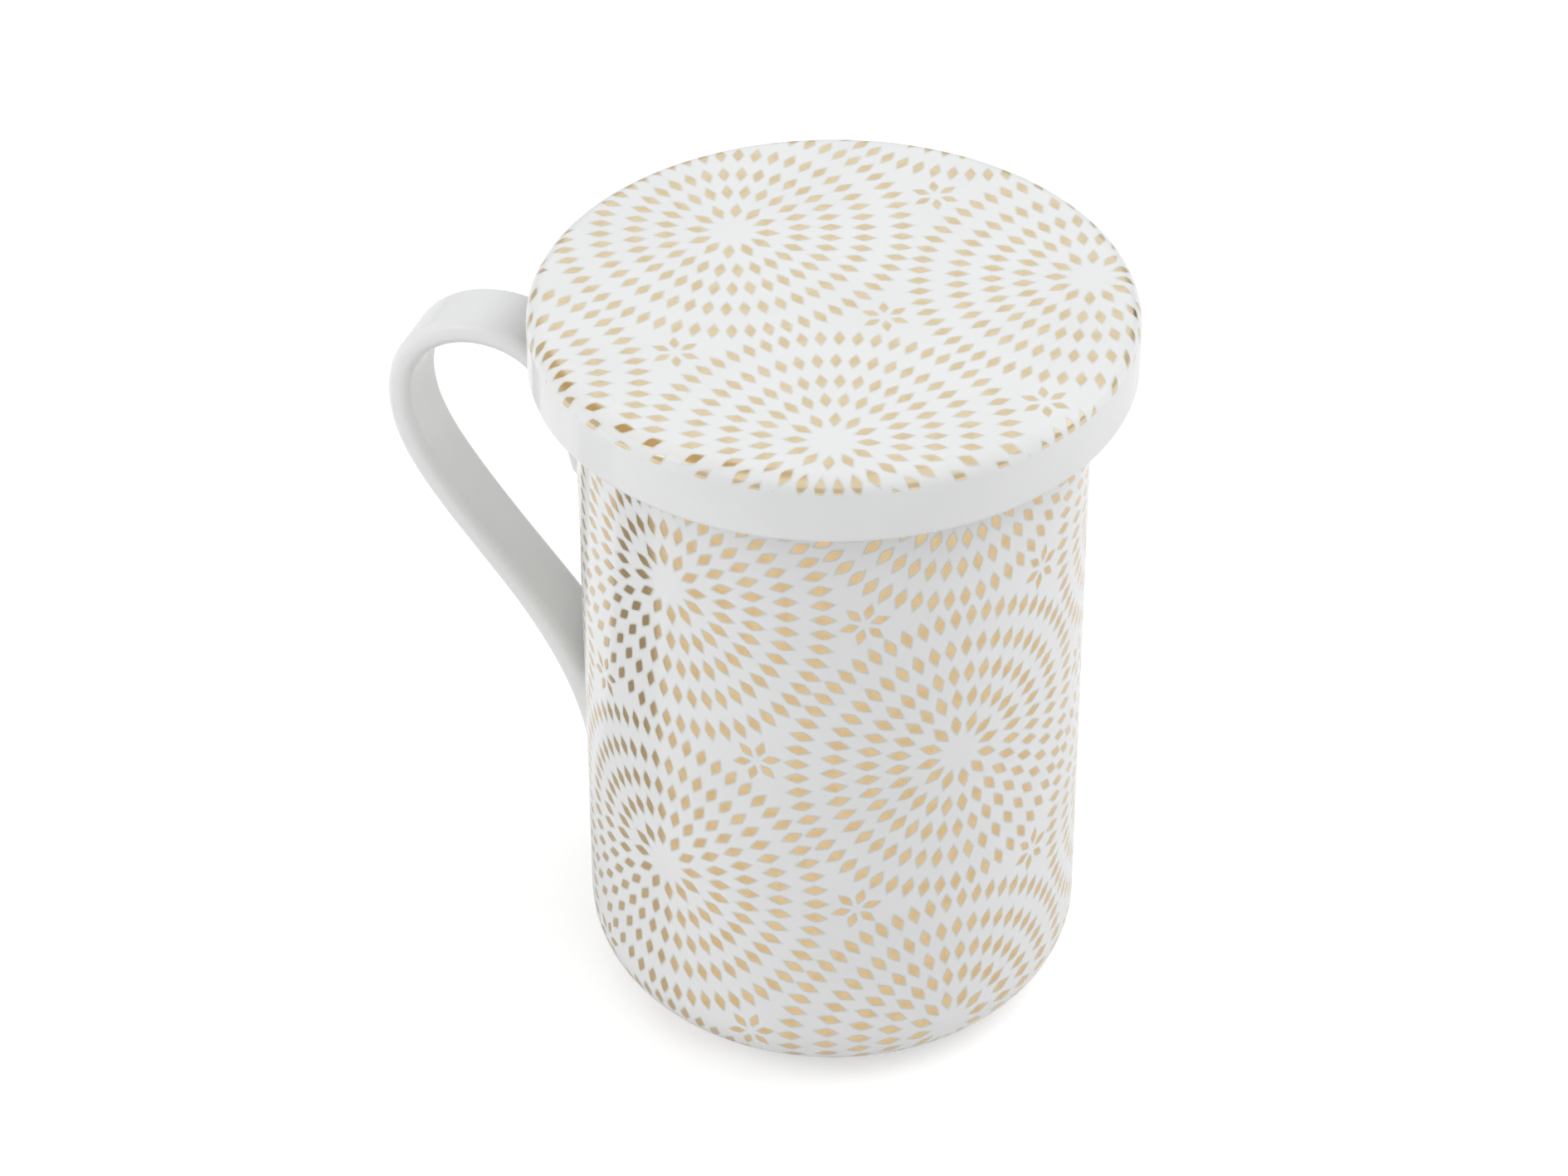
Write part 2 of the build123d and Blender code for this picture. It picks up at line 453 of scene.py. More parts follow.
wallPrint = {
    "pitch": 53.45 * mm,
    "rings": [
        (5.17 * mm, 12, 8.5),
        (9.92 * mm, 24, 4.2),
        (14.54 * mm, 35, 2.9),
        (19.46 * mm, 46, 2.2),
        (24.88 * mm, 59, 1.7),
    ],  # radius, number of lozenges, angle of the first
    "petalAngle": 16,
    "bearing": -40.65,  # of a lattice point, in degrees round the mug
    "level": 63.4 * mm,
    "fan": -0.54,  # how much the sheet narrows upwards, per metre
    "lean": 0.0092,  # of its upright rows
    "slant": -0.0225,  # of its level rows
    "sag": 0.067,  # of its level rows, per metre
    "bottom": 2.2 * mm,
    "top": 112.4 * mm,
    "seam": 4.0 * mm,  # half the bare strip behind the handle
    "footMargin": 1.0 * mm,  # over which the print ends round the foot ring
    "skin": 1.95 * mm,  # nothing deeper than this below the outside is printed
    "gold": ((0.73, 0.545, 0.32, 1), (0.67, 0.485, 0.27, 1)),
    # painted shade round the lozenges on the wall: the grey the glaze is drawn with next to the print
    "paintedPrintShade": (0.61, 0.64, 0.615, 1),
}


def printOnWall(tree, x, y, z):
    sheet = wallPrint
    radius, bearing = hypotenuse(tree, x, y), calc(tree, "ARCTAN2", y, x)
    # the sheet is wrapped round the wall, and its rows fan, lean and sag a little
    turn = minus(tree, bearing, math.radians(sheet["bearing"]))
    along = times(tree, turn, mugSizes["radius"])
    rise = minus(tree, z, sheet["level"])
    across = times(tree, along, minus(tree, 1, times(tree, rise, sheet["fan"])))
    across = minus(tree, across, times(tree, rise, sheet["lean"]))
    slant = plus(tree, times(tree, along, sheet["sag"]), sheet["slant"])
    up = minus(tree, rise, times(tree, along, slant))
    # it ends at the foot, the lip and the seam, and the inside of the mug stays white
    fromSeam = minus(tree, math.pi, calc(tree, "ABSOLUTE", bearing))
    heelCentre = heelCircle()[2]
    belowHeel = calc(tree, "MINIMUM", minus(tree, z, heelCentre.y), 0)
    fromHeel = hypotenuse(tree, minus(tree, radius, heelCentre.x), belowHeel)
    footRadius = mugSizes["footRadius"]
    laid = pastCut(tree, z, sheet["bottom"])
    for fence in (
        minus(tree, 1, pastCut(tree, z, sheet["top"])),
        pastCut(tree, times(tree, fromSeam, mugSizes["radius"]), sheet["seam"]),
        step(tree, radius, footRadius - sheet["footMargin"], footRadius),
        pastCut(tree, fromHeel, mugSizes["radius"] - heelCentre.x - sheet["skin"]),
    ):
        laid = times(tree, laid, fence)
    return printDepth(tree, across, up, sheet), laid


def bareFoot(tree, z):
    return calc(tree, "LESS_THAN", z, mugSizes["bareLevel"])


mugGlaze = glaze("mug glaze with gold print", printOnWall, wallPrint, bareFoot)
standFor(makeMug(), "mug", "mug_body", mugGlaze)
print("tea mug: mug turned")

# the lid: a plate with a skirt and a stepped ring below it

lidSizes = {
    "radius": lidHigh.x,
    "top": lidHigh.z,
    "skirtBottom": lidLow.z,
    "skirt": 3.3 * mm,
    "plateBottom": lidHigh.z - 2.8 * mm,
    "seatLevel": brimHigh.z,
    "ringRadius": 29.2 * mm,
    "ringWidth": 2.6 * mm,
    "ringDepth": 3.0 * mm,
    "seatWidth": 4.2 * mm,
    "dish": 0.6 * mm,  # how far the top sinks towards its middle
    "dishRadius": 41.0 * mm,
    "dishPower": 1.3,  # 1 is a parabola, more leaves the rim flatter
    "dishSteps": 16,
    "edge": 2.7 * mm,
    "skirtRounding": 1.2 * mm,
    "ringRounding": 0.8 * mm,
    "glazeSoftening": 0.35 * mm,
    "roundSteps": 10,
    "bareBand": 0.25 * mm,  # of the skirt, unglazed because the lid was fired standing on it
}


def makeLid():
    sizes = lidSizes
    skirtInner = sizes["radius"] - sizes["skirt"]
    seatRadius = sizes["ringRadius"] + sizes["seatWidth"]
    ringInner = sizes["ringRadius"] - sizes["ringWidth"]
    ringBottom = sizes["seatLevel"] - sizes["ringDepth"]
    dish = []
    for index in range(1, sizes["dishSteps"] + 1):
        share = index / sizes["dishSteps"]
        depth = sizes["dish"] * (1 - share ** 2) ** sizes["dishPower"]
        dish.append((sizes["dishRadius"] * share, sizes["top"] - depth))
    section = [
        *dish,
        (sizes["radius"], sizes["top"]),
        (sizes["radius"], sizes["skirtBottom"]),
        (skirtInner, sizes["skirtBottom"]),
        (skirtInner, sizes["plateBottom"]),
        (seatRadius, sizes["plateBottom"]),
        (seatRadius, sizes["seatLevel"]),
        (sizes["ringRadius"], sizes["seatLevel"]),
        (sizes["ringRadius"], ringBottom),
        (ringInner, ringBottom),
        (ringInner, sizes["plateBottom"]),
    ]
    edge, skirt = sizes["edge"], sizes["skirtRounding"]
    ring, soft = sizes["ringRounding"], sizes["glazeSoftening"]
    radii = [edge, skirt, skirt, skirt, soft, soft, soft, ring, ring, soft]
    rounding = {len(dish) + index: radius for index, radius in enumerate(radii)}
    return smoothed(turned("turned_lid", section, rounding, roundSteps=sizes["roundSteps"]))


lidPrint = {
    "pitch": 54.79 * mm,
    "rings": [
        (5.27 * mm, 12, 39.3),
        (10.08 * mm, 24, 34.5),
        (14.72 * mm, 35, 27.0),
        (19.81 * mm, 46, 30.8),
        (25.44 * mm, 59, 28.1),
    ],  # radius, number of lozenges, angle of the first
    "petalAngle": 19.6,
    "centre": (-20.28 * mm, 12.09 * mm),  # a lattice point
    "turn": -23.67,  # of the lattice on the lid, in degrees
    "stretch": 1.0173,
    "radius": 45.8 * mm,  # of the sheet, which is laid over the rounded edge
    "axisGuard": 1.0 * mm,  # the least radius that anything is divided by
    "gold": ((0.77, 0.65, 0.45, 1), (0.71, 0.585, 0.38, 1)),
    # painted shade round the lozenges on the lid, lighter than on the wall
    "paintedPrintShade": (0.68, 0.70, 0.685, 1),
}


def printOnLid(tree, x, y, z):
    sheet = lidPrint
    radius = hypotenuse(tree, x, y)
    # on the rounded edge the sheet runs on by its length along the surface
    edge = lidSizes["edge"]
    flat = lidSizes["radius"] - edge
    past = calc(tree, "DIVIDE", minus(tree, radius, flat), edge)
    past = calc(tree, "ARCSINE", calc(tree, "MINIMUM", calc(tree, "MAXIMUM", past, 0), 1))
    run = plus(tree, calc(tree, "MINIMUM", radius, flat), times(tree, past, edge))
    longer = calc(tree, "DIVIDE", run, calc(tree, "MAXIMUM", radius, sheet["axisGuard"]))
    longer = calc(tree, "MAXIMUM", longer, 1)
    x = minus(tree, times(tree, x, longer), sheet["centre"][0])
    y = minus(tree, times(tree, y, longer), sheet["centre"][1])
    x, y = times(tree, x, sheet["stretch"]), times(tree, y, 1 / sheet["stretch"])
    across, up = alongBearing(tree, x, y, sheet["turn"])
    onTop = calc(tree, "GREATER_THAN", z, lidSizes["top"] - edge)
    laid = times(tree, minus(tree, 1, pastCut(tree, run, sheet["radius"])), onTop)
    return printDepth(tree, across, up, sheet), laid


def bareSkirt(tree, z):
    return calc(tree, "LESS_THAN", z, lidSizes["skirtBottom"] + lidSizes["bareBand"])


lidGlaze = glaze("lid glaze with gold print", printOnLid, lidPrint, bareSkirt)
standFor(makeLid(), "lid", "lid", lidGlaze)
print("tea mug: lid turned")

# the handle: a ribbon wrapped round its centreline, luted to the wall

handleSizes = {
    "crownGap": 3.1 * mm,  # between the skirt of the lid and the ribbon's crown
    "gripWidth": 11.3 * mm,
    "gripThickness": 3.7 * mm,
    "rootWidth": 14.6 * mm,
    "rootThickness": 4.4 * mm,
    "roundness": 0.88,
    "leastCorner": 0.15 * mm,
    "rootEnd": 1.3 * mm,  # radius of the free end, inside the wall
    "luting": 1.5 * mm,  # radius of the slip that fills the corner with the wall
    "sunk": 0.4 * mm,  # how far the ribbon reaches into the wall
    "points": [
        (-0.9, 20.6), (2.6, 9.5), (8.7, 1.9), (20.4, 0.8), (27.7, 6.1),
        (29.8, 17.0), (23.75, 30.3), (11.4, 46.2), (-2.4, 70.9),
    ],  # mm off the wall, and mm below the crown
    "widening": [
        (0.0, 1.0), (0.08, 0.75), (0.17, 0.3), (0.27, 0.05), (0.38, 0.0),
        (0.5, 0.0), (0.62, 0.0), (0.74, 0.0), (0.87, 0.5), (1.0, 1.6),
    ],  # share of the length, and of the way from grip to root
    "arcSteps": 9,
    "flatSteps": 12,
    "endSteps": 8,
    "rows": 420,
    "pathSteps": 4000,
    "tangentStep": 0.05 * mm,
    "weld": 0.002 * mm,
    "crease": 60,
}


def spline(knots, values, wanted):
    # a cubic spline through values at knots, its ends as smooth as its inside
    knots, values, wanted = (np.array(numbers, float) for numbers in (knots, values, wanted))
    gaps = np.diff(knots)
    slopes = np.diff(values) / gaps
    count = len(knots)
    system, right = np.zeros((count, count)), np.zeros(count)
    system[0, :3] = gaps[1], -gaps[0] - gaps[1], gaps[0]
    system[-1, -3:] = gaps[-1], -gaps[-2] - gaps[-1], gaps[-2]
    for row in range(1, count - 1):
        system[row, row - 1:row + 2] = gaps[row - 1], 2 * (gaps[row - 1] + gaps[row]), gaps[row]
        right[row] = 6 * (slopes[row] - slopes[row - 1])
    bend = np.linalg.solve(system, right)
    span = np.clip(np.searchsorted(knots, wanted, side="right") - 1, 0, count - 2)
    after, before, gap = wanted - knots[span], knots[span + 1] - wanted, gaps[span]
    curved = bend[span] * before ** 3 + bend[span + 1] * after ** 3
    straight = (values[span] / gap - bend[span] * gap / 6) * before
    straight += (values[span + 1] / gap - bend[span + 1] * gap / 6) * after
    return curved / (6 * gap) + straight


def ribbonSection(width, thickness, inset):
    # the outline as (across, out) points, corner by corner round the ribbon
    corner = max(handleSizes["roundness"] * thickness / 2 - inset, handleSizes["leastCorner"])
    halfWidth, halfThickness = width / 2 - inset - corner, thickness / 2 - inset - corner
    steps, flat = handleSizes["arcSteps"], handleSizes["flatSteps"]
    outline = []
    for quarter, (side, out) in enumerate(((1, 1), (-1, 1), (-1, -1), (1, -1))):
        for index in range(steps + 1):
            angle = math.radians(90) * (quarter + index / steps)
            outline.append((
                side * halfWidth + corner * math.cos(angle),
                out * halfThickness + corner * math.sin(angle),
            ))
        if quarter in (0, 2):  # the wide faces
            start, end = outline[-1][0], -outline[-1][0]
            level = outline[-1][1]
            outline += [(start + (end - start) * index / flat, level) for index in range(1, flat)]
    return outline


def ribbonPath():
    # the centreline as many close points in its own plane, and how far along it each one lies
    sizes = handleSizes
    crown = lidLow.z - sizes["crownGap"] - sizes["gripThickness"] / 2
    points = [(-mugSizes["radius"] - off * mm, crown - drop * mm) for off, drop in sizes["points"]]
    chords = [0.0]
    for before, after in zip(points, points[1:]):
        chords.append(chords[-1] + math.dist(before, after))
    fine = np.linspace(0, chords[-1], sizes["pathSteps"])
    path = np.stack([spline(chords, [point[axis] for point in points], fine) for axis in (0, 1)], 1)
    steps = np.linalg.norm(np.diff(path, axis=0), axis=1)
    return path, np.concatenate([[0], np.cumsum(steps)])


def ribbonRows(length):
    # where each row lies along the ribbon and how far it is drawn in: the rounded end, then evenly on
    end, endSteps = handleSizes["rootEnd"], handleSizes["endSteps"]
    rows = []
    for index in range(endSteps):
        angle = math.radians(90) * (1 - index / endSteps)
        rows.append((end * (1 - math.sin(angle)), end * (1 - math.cos(angle))))
    rest = handleSizes["rows"] - endSteps
    return rows + [(end + (length - end) * index / rest, 0) for index in range(rest + 1)]


def ribbonPlaces(rows, path, lengths):
    sizes = handleSizes
    stations, widening = zip(*sizes["widening"])
    places = []
    for along, inset in rows:
        centre, behind, ahead = (
            [np.interp(along + shift, lengths, path[:, axis]) for axis in (0, 1)]
            for shift in (0, -sizes["tangentStep"], sizes["tangentStep"])
        )
        run = Vector((ahead[0] - behind[0], ahead[1] - behind[1])).normalized()
        wider = float(spline(stations, widening, [along / lengths[-1]])[0])
        width = sizes["gripWidth"] + (sizes["rootWidth"] - sizes["gripWidth"]) * wider
        thickness = sizes["gripThickness"] + (sizes["rootThickness"] - sizes["gripThickness"]) * wider
        outline = ribbonSection(width, thickness, inset)
        for across, out in outline + outline[:1]:
            places.append((centre[0] - run.y * out, across, centre[1] + run.x * out))
    return places


def luteToWall(handle):
    # the ribbon flares where it meets the wall, and ends just inside it
    fillet, sunk = handleSizes["luting"], handleSizes["sunk"]
    normals = [vertex.normal.copy() for vertex in handle.data.vertices]
    for vertex, normal in zip(handle.data.vertices, normals):
        place = vertex.co.copy()
        away = Vector((place.x, place.y, 0)).normalized()
        height = math.hypot(place.x, place.y) - outsideRadius(place.z)
        if height < fillet:
            aside = normal - normal.dot(away) * away
            left = fillet - max(height, 0)
            vertex.co += aside * (fillet - math.sqrt(fillet ** 2 - left ** 2))
        if height < -sunk:
            keep = (outsideRadius(vertex.co.z) - sunk) / math.hypot(vertex.co.x, vertex.co.y)
            vertex.co.x *= keep
            vertex.co.y *= keep


def makeHandle():
    sizes = handleSizes
    path, lengths = ribbonPath()
    rows = ribbonRows(lengths[-1])
    places = ribbonPlaces(rows, path, lengths)
    around = len(places) // len(rows) - 1
    deselect()
    bpy.ops.mesh.primitive_grid_add(x_subdivisions=around, y_subdivisions=len(rows) - 1, size=1)
    handle = bpy.context.object
    handle.name = handle.data.name = "ribbon_handle"
    for vertex in handle.data.vertices:  # the grid is wrapped round the centreline
        column = round((vertex.co.x + 0.5) * around)
        row = round((vertex.co.y + 0.5) * (len(rows) - 1))
        vertex.co = places[row * (around + 1) + column]
    bpy.ops.object.mode_set(mode="EDIT")
    bpy.ops.mesh.select_all(action="SELECT")
    bpy.ops.mesh.remove_doubles(threshold=sizes["weld"])
    bpy.ops.mesh.select_all(action="DESELECT")
    bpy.ops.mesh.select_mode(type="EDGE")
    bpy.ops.mesh.select_non_manifold()
    bpy.ops.mesh.fill_holes(sides=0)
    bpy.ops.mesh.select_all(action="SELECT")
    bpy.ops.mesh.normals_make_consistent(inside=False)
    bpy.ops.object.mode_set(mode="OBJECT")
    luteToWall(handle)
    return smoothed(handle, sizes["crease"])


standFor(makeHandle(), "mug", "handle", glaze("handle glaze"))
print("tea mug: handle wrapped")

# the infuser: brim, pierced wall and pierced pan, in sheet steel

steel = {
    "colour": (0.73, 0.72, 0.70, 1),
    "dark": (0.65, 0.64, 0.62, 1),
    "cloudSize": 9 * mm,
    "roughness": (0.216, 0.3375),
    "lineSize": 0.12 * mm,
    "changesPerRadian": 3,  # of one line, on its way round the sheet
    "lineHeight": 0.004 * mm,
}


def brushedSteel(name):
    # fine lines run round the sheet, as rolling and polishing leave them
    material, tree, shader = newMaterial(name)
    place, (x, y, z) = placeOn(tree)
    grain = tree.nodes.new("ShaderNodeCombineXYZ")
    bearing = calc(tree, "ARCTAN2", y, x)
    join(tree, times(tree, bearing, steel["changesPerRadian"]), grain.inputs[0])
    join(tree, calc(tree, "DIVIDE", hypotenuse(tree, x, y), steel["lineSize"]), grain.inputs[1])
    join(tree, calc(tree, "DIVIDE", z, steel["lineSize"]), grain.inputs[2])
    lines = noise(tree, grain.outputs[0], 1, 2)
    cloud = noise(tree, place, steel["cloudSize"], 3)
    colour = blendColour(tree, cloud, steel["colour"], steel["dark"])
    tree.links.new(colour, shader.inputs["Base Color"])
    tree.links.new(blendValue(tree, lines, *steel["roughness"]), shader.inputs["Roughness"])
    tree.links.new(bump(tree, lines, steel["lineHeight"]), shader.inputs["Normal"])
    shader.inputs["Metallic"].default_value = 1
    return material


infuserSizes = {
    "sheet": 0.6 * mm,
    "seam": 0.1 * mm,  # between the neck of the brim and the wall
    "hem": 2.2 * mm,
    "bend": 1.0 * mm,
    "panBend": 0.4 * mm,  # inside the pan
    "cutEdge": 0.12 * mm,
    "roundSteps": 6,
    "hole": 1.2 * mm,
    "holeSides": 12,
    "columns": 72,
    "rowPairs": 9,
    "footBand": 4.2 * mm,  # straight bands of the wall
    "lapBand": 7.0 * mm,
    "margin": 3.2 * mm,  # from the bands to the first and last row
    "marginStep": 0.4,  # share of the margin at which it gets a ring of edges
    "taper": 3.0 * mm,
    "weld": 0.005 * mm,
    "panRings": 7,
    "panPitch": 3.3 * mm,
    "panRingHoles": 6,
    "punchLength": 2.4 * mm,
    "crease": 30,
}


def makeBrim():
    sizes = infuserSizes
    outer, top, sheet, bend = brimHigh.x, brimHigh.z, sizes["sheet"], sizes["bend"]
    hemBottom, neckBottom = top - sizes["hem"], brimLow.z
    neck = wallHigh.x - sheet - sizes["seam"]
    section = [
        (outer, top),
        (outer, hemBottom),
        (outer - sheet, hemBottom),
        (outer - sheet, top - sheet),
        (neck, top - sheet),
        (neck, neckBottom),
        (neck - sheet, neckBottom),
        (neck - sheet, top),
    ]
    rounding = {0: bend, 3: bend - sheet, 4: bend, 7: bend + sheet}
    rounding.update({corner: sizes["cutEdge"] for corner in (1, 2, 5, 6)})
    return smoothed(turned("pressed_brim", section, rounding, closed=True, roundSteps=sizes["roundSteps"]))


def innerRadius(level):
    # of the infuser's rolled wall
    sizes = infuserSizes
    bottom, top = wallLow.z + sizes["footBand"], wallHigh.z - sizes["lapBand"]
    rise = min(max((level - bottom) / (top - bottom), 0), 1)
    return wallHigh.x - sizes["sheet"] - sizes["taper"] * (1 - rise)


def piercedCell(cellWidth, rowPitch, level):
    # one cell of the flat blank, with a hole in it
    sizes = infuserSizes
    deselect()
    bpy.ops.mesh.primitive_plane_add(size=1)
    blank = bpy.context.object
    bpy.ops.object.mode_set(mode="EDIT")
    bpy.ops.mesh.select_mode(type="VERT")
    bpy.ops.transform.resize(value=(cellWidth, rowPitch, 1))
    bpy.ops.mesh.subdivide(number_cuts=1)
    bpy.ops.mesh.select_all(action="DESELECT")
    mesh = bmesh.from_edit_mesh(blank.data)
    min(mesh.verts, key=lambda vertex: vertex.co.length).select_set(True)
    bmesh.update_edit_mesh(blank.data)
    bpy.ops.mesh.delete(type="VERT")
    bpy.ops.mesh.primitive_circle_add(vertices=sizes["holeSides"], radius=sizes["hole"] / 2)
    bpy.ops.mesh.select_all(action="SELECT")
    bpy.ops.mesh.bridge_edge_loops()
    bpy.ops.mesh.select_all(action="SELECT")
    bpy.ops.transform.translate(value=(cellWidth / 2, level + rowPitch / 2, 0))
    bpy.ops.object.mode_set(mode="OBJECT")
    return blank


def arrayed(piece, count, offset):
    bpy.ops.object.modifier_add(type="ARRAY")
    array = piece.modifiers[-1]
    array.count = count
    array.use_relative_offset = False
    array.use_constant_offset = True
    array.constant_offset_displace = offset
    array.use_merge_vertices = True
    array.merge_threshold = infuserSizes["weld"]
    bpy.ops.object.modifier_apply(modifier=array.name)


def makePiercedWall():
    # the cell is arrayed in staggered rows, the blank gets its bands, is rolled up and gets its thickness
    sizes = infuserSizes
    margin = sizes["margin"]
    first = wallLow.z + sizes["footBand"] + margin
    last = wallHigh.z - sizes["lapBand"] - margin
    rowPitch = (last - first) / (2 * sizes["rowPairs"])
    cellWidth = math.tau * (wallHigh.x - sizes["taper"] / 2) / sizes["columns"]
    wall = piercedCell(cellWidth, rowPitch, first)
    wall.name = wall.data.name = "pierced_wall"
    arrayed(wall, sizes["columns"], (cellWidth, 0, 0))
    arrayed(wall, 2, (cellWidth / 2, rowPitch, 0))
    arrayed(wall, sizes["rowPairs"], (0, 2 * rowPitch, 0))
    bpy.ops.object.mode_set(mode="EDIT")
    bpy.ops.mesh.select_mode(type="EDGE")
    bpy.ops.mesh.select_all(action="SELECT")
    bpy.ops.mesh.remove_doubles(threshold=sizes["weld"])
    for edge, away, end in ((last, margin, wallHigh.z), (first, -margin, wallLow.z)):
        selectEdges(wall, lambda place: abs(place.y - edge) < modelling["pickReach"])
        level = edge
        for nextLevel in (edge + sizes["marginStep"] * away, edge + away, end):
            bpy.ops.mesh.extrude_region_move(TRANSFORM_OT_translate={"value": (0, nextLevel - level, 0)})
            level = nextLevel
    bpy.ops.object.mode_set(mode="OBJECT")
    for vertex in wall.data.vertices:  # rolled up
        bearing = math.tau * vertex.co.x / (sizes["columns"] * cellWidth)
        radius = innerRadius(vertex.co.y)
        vertex.co = (radius * math.cos(bearing), radius * math.sin(bearing), vertex.co.y)
    bpy.ops.object.mode_set(mode="EDIT")
    bpy.ops.mesh.select_all(action="SELECT")
    bpy.ops.mesh.remove_doubles(threshold=2 * sizes["weld"])
    bpy.ops.mesh.normals_make_consistent(inside=False)
    bpy.ops.object.mode_set(mode="OBJECT")
    bpy.ops.object.modifier_add(type="SOLIDIFY")
    thickness = wall.modifiers[-1]
    thickness.thickness = sizes["sheet"]
    thickness.offset = 1
    bpy.ops.object.modifier_apply(modifier=thickness.name)
    return smoothed(wall, sizes["crease"])


def panPunch(level):
    # a pin for every hole of the pan: one in the middle, and rings of them round it
    sizes = infuserSizes
    places = [(0, 0)]
    for ring in range(1, sizes["panRings"] + 1):
        count = ring * sizes["panRingHoles"]
        for index in range(count):
            bearing = math.tau * index / count
            radius = ring * sizes["panPitch"]
            places.append((radius * math.cos(bearing), radius * math.sin(bearing)))
    deselect()
    bpy.ops.mesh.primitive_cylinder_add(
        vertices=sizes["holeSides"],
        radius=sizes["hole"] / 2,
        depth=sizes["punchLength"],
        location=(0, 0, level),
    )
    punch = bpy.context.object
    bpy.ops.object.transform_apply(location=True, rotation=False, scale=False)
    bpy.ops.object.mode_set(mode="EDIT")
    bpy.ops.mesh.select_all(action="SELECT")
    for before, after in zip(places, places[1:]):
        shift = (after[0] - before[0], after[1] - before[1], 0)
        bpy.ops.mesh.duplicate_move(TRANSFORM_OT_translate={"value": shift})
    bpy.ops.object.mode_set(mode="OBJECT")
    return punch


def makePiercedPan():
    sizes = infuserSizes
    bottom, top, outer, sheet = panLow.z, panHigh.z, panHigh.x, sizes["sheet"]
    section = [(outer, bottom), (outer, top), (outer - sheet, top), (outer - sheet, bottom + sheet)]
    rounding = {0: sizes["bend"], 1: sizes["cutEdge"], 2: sizes["cutEdge"], 3: sizes["panBend"]}
    pan = turned("pierced_pan", section, rounding, roundSteps=sizes["roundSteps"])
    punch = panPunch(bottom + sheet / 2)
    deselect()
    bpy.context.view_layer.objects.active = pan
    pan.select_set(True)
    bpy.ops.object.modifier_add(type="BOOLEAN")
    pan.modifiers[-1].object = punch
    pan.modifiers[-1].operation = "DIFFERENCE"
    bpy.ops.object.modifier_apply(modifier=pan.modifiers[-1].name)
    bpy.data.objects.remove(punch)
    return smoothed(pan, sizes["crease"])


sheetSteel = brushedSteel("brushed steel sheet")
standFor(makeBrim(), "infuser", "infuser_brim", sheetSteel)
standFor(makePiercedWall(), "infuser", "infuser_wall", sheetSteel)
standFor(makePiercedPan(), "infuser", "infuser_base", sheetSteel)
print("tea mug: infuser pierced")

# the floor: white paper

paper = {
    "size": 6,
    "colour": (0.80, 0.80, 0.80, 1),
    "roughness": 0.9,
    "glow": (0.38, 0.66),  # near and far, for what looks at it, so that it shows as white
    "glowGrows": (0.25, 1.1),  # over these distances from the mug
    "sheen": 0.16,  # its glow in mirror images
    "shadowBearing": -160,  # of the mug's shadow, which the gold and the glaze mirror deeper than it is
    "shadowHalfWidth": 31 * mm,
    "shadowSoftness": 5 * mm,
    "shadowStarts": (0, 20 * mm),  # over this way from the axis of the mug
    "shadowEnds": (156 * mm, 260 * mm),
    "shadowDepth": (0.2, 0.56),  # near the mug and far from it
    "shadowDeepens": (60 * mm, 130 * mm),
}


def mirroredShadow(tree, x, y, mirrored):
    ahead, left = alongBearing(tree, x, y, paper["shadowBearing"])
    half, soft = paper["shadowHalfWidth"], paper["shadowSoftness"]
    beside = step(tree, calc(tree, "ABSOLUTE", left), half - soft, half + soft)
    beyond = step(tree, ahead, *paper["shadowEnds"])
    shadow = times(tree, minus(tree, 1, beside), minus(tree, 1, beyond))
    shadow = times(tree, shadow, step(tree, ahead, *paper["shadowStarts"]))
    depth = blendValue(tree, step(tree, ahead, *paper["shadowDeepens"]), *paper["shadowDepth"])
    return times(tree, shadow, times(tree, mirrored, depth))


def makeFloor():
    deselect()
    bpy.ops.mesh.primitive_plane_add(size=paper["size"])
    floor = bpy.context.object
    floor.name = "floor"
    material, tree, shader = newMaterial("white paper")
    x, y = placeOn(tree)[1][:2]
    path = tree.nodes.new("ShaderNodeLightPath").outputs
    seen = calc(tree, "MAXIMUM", path["Is Camera Ray"], path["Is Transmission Ray"])
    away = step(tree, hypotenuse(tree, x, y), *paper["glowGrows"])
    glow = times(tree, seen, blendValue(tree, away, *paper["glow"]))
    shadow = mirroredShadow(tree, x, y, path["Is Glossy Ray"])
    sheen = times(tree, path["Is Glossy Ray"], paper["sheen"])
    sheen = times(tree, sheen, minus(tree, 1, shadow))
    colour = blendColour(tree, shadow, paper["colour"], (0, 0, 0, 1))
    tree.links.new(colour, shader.inputs["Base Color"])
    tree.links.new(calc(tree, "MAXIMUM", glow, sheen), shader.inputs["Emission Strength"])
    shader.inputs["Emission Color"].default_value = (1, 1, 1, 1)
    shader.inputs["Roughness"].default_value = paper["roughness"]
    floor.data.materials.append(material)


# the room and its lamps

room = {
    "light": 0.506,  # what it sheds on everything
    "white": 1.0,  # what is seen of it, by itself and in mirrors
    "horizonShare": 0.7,  # of that white, low down in mirrors
    "horizonEnds": (0.20, 0.50),  # heights between which it turns white
    "patches": [
        (179, 50, 48, 14, (0.66, 0.51, 0.31, 1)),
        (30, 24, 21, 14, (1.3, 1.3, 1.27, 1)),
        (-137, 30, 13, 7, (1.6, 1.6, 1.6, 1)),
        (74, 8, 9, 4, (0.2, 0.2, 0.2, 1)),
    ],  # mirrored: bearing and height, outer and inner radius in degrees, and colour
}
lamps = {
    "window": (28, 46, 1.2, 0.9, 5.4),
    "front": (-45, 50, 1.2, 0.9, 3.0),
    "side": (-150, 20, 1.2, 0.9, 5.4),
    "back": (150, 40, 1.2, 0.9, 1.4),
}  # bearing and height in degrees, seen from the mug, distance, size and watts
lampAim = (0, 0, 60 * mm)


def wayTo(bearing, height):
    bearing, height = math.radians(bearing), math.radians(height)
    level = math.cos(height)
    return Vector((math.cos(bearing) * level, math.sin(bearing) * level, math.sin(height)))


def grey(value):
    return (value, value, value, 1)


